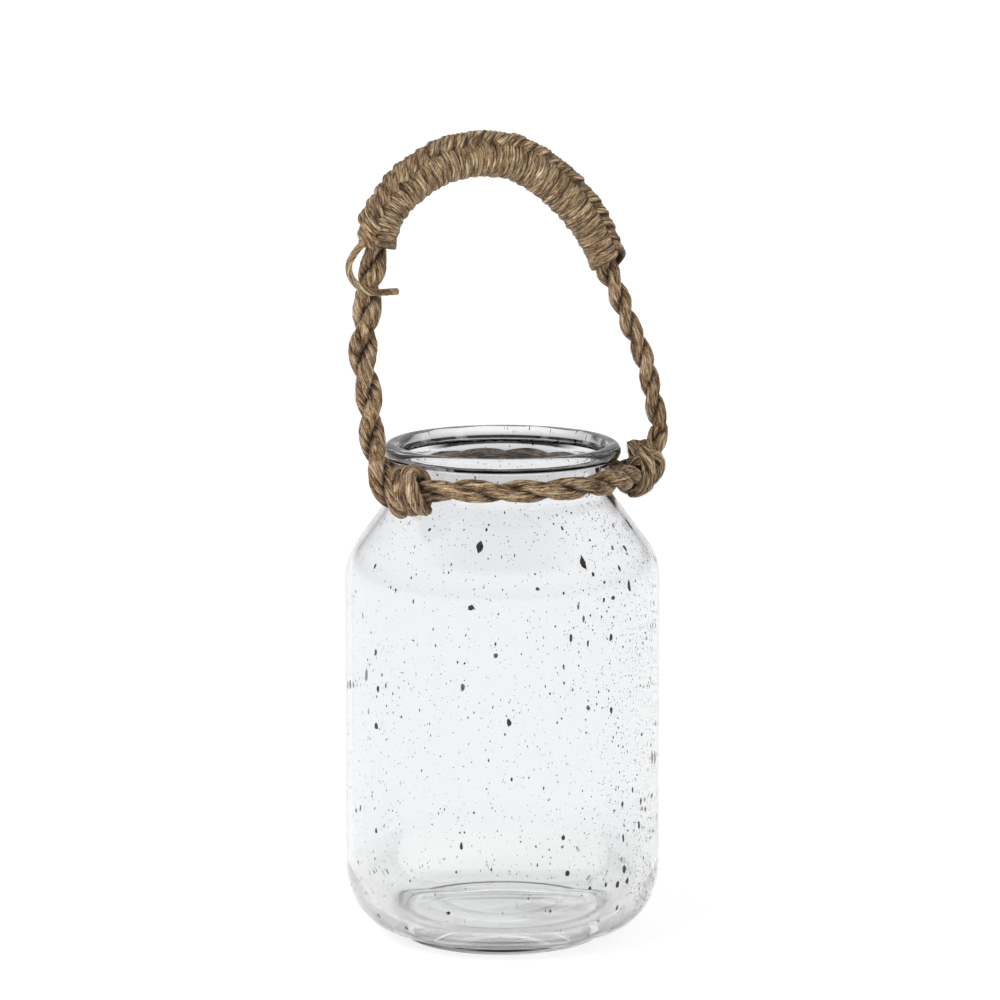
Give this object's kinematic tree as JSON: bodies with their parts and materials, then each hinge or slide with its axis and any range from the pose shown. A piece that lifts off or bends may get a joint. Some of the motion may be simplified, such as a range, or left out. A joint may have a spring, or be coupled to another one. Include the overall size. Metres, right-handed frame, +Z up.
{
  "type": "hanging lantern",
  "caption": "Speckled clear glass jar lantern with a jute rope collar under its rim and a rope bail with a hitched grip, to stand or hang with a candle inside.",
  "frame": {"origin": "on the jar's axis, in the plane that its foot ring stands on", "axes": "+Z up along the jar's axis; +X to the right and +Y away as the lantern is seen from the front, with the bail's feet near -X and +X"},
  "size_m": [0.1667, 0.16, 0.4105],
  "materials": {
    "speckled_glass": "clear blown glass with dark seeds in it",
    "jute_rope": "two-strand laid jute, hairy and matt",
    "jute_yarn": "hitched jute yarn, matt"
  },
  "bodies": {
    "jar": {"glass_jar": "speckled_glass"},
    "collar": {"collar_strand_a": "jute_rope", "collar_strand_b": "jute_rope", "left_knot": "jute_rope", "right_knot": "jute_rope"},
    "bail": {"bail_strand_a": "jute_rope", "bail_strand_b": "jute_rope", "grip_hitches": "jute_yarn", "grip_ridge": "jute_yarn", "yarn_tail": "jute_yarn"}
  },
  "joints": [
    {"name": "collar_turn", "type": "hinge", "parent": "jar", "child": "collar", "pos_m": [0, 0, 0.2386], "axis": [0, 0, 1], "continuous": true},
    {"name": "bail_swing", "type": "hinge", "parent": "collar", "child": "bail", "pos_m": [0.00657, -0.01476, 0.2356], "axis": [0.9135, 0.4067, 0], "range_deg": [-108, 152]}
  ]
}
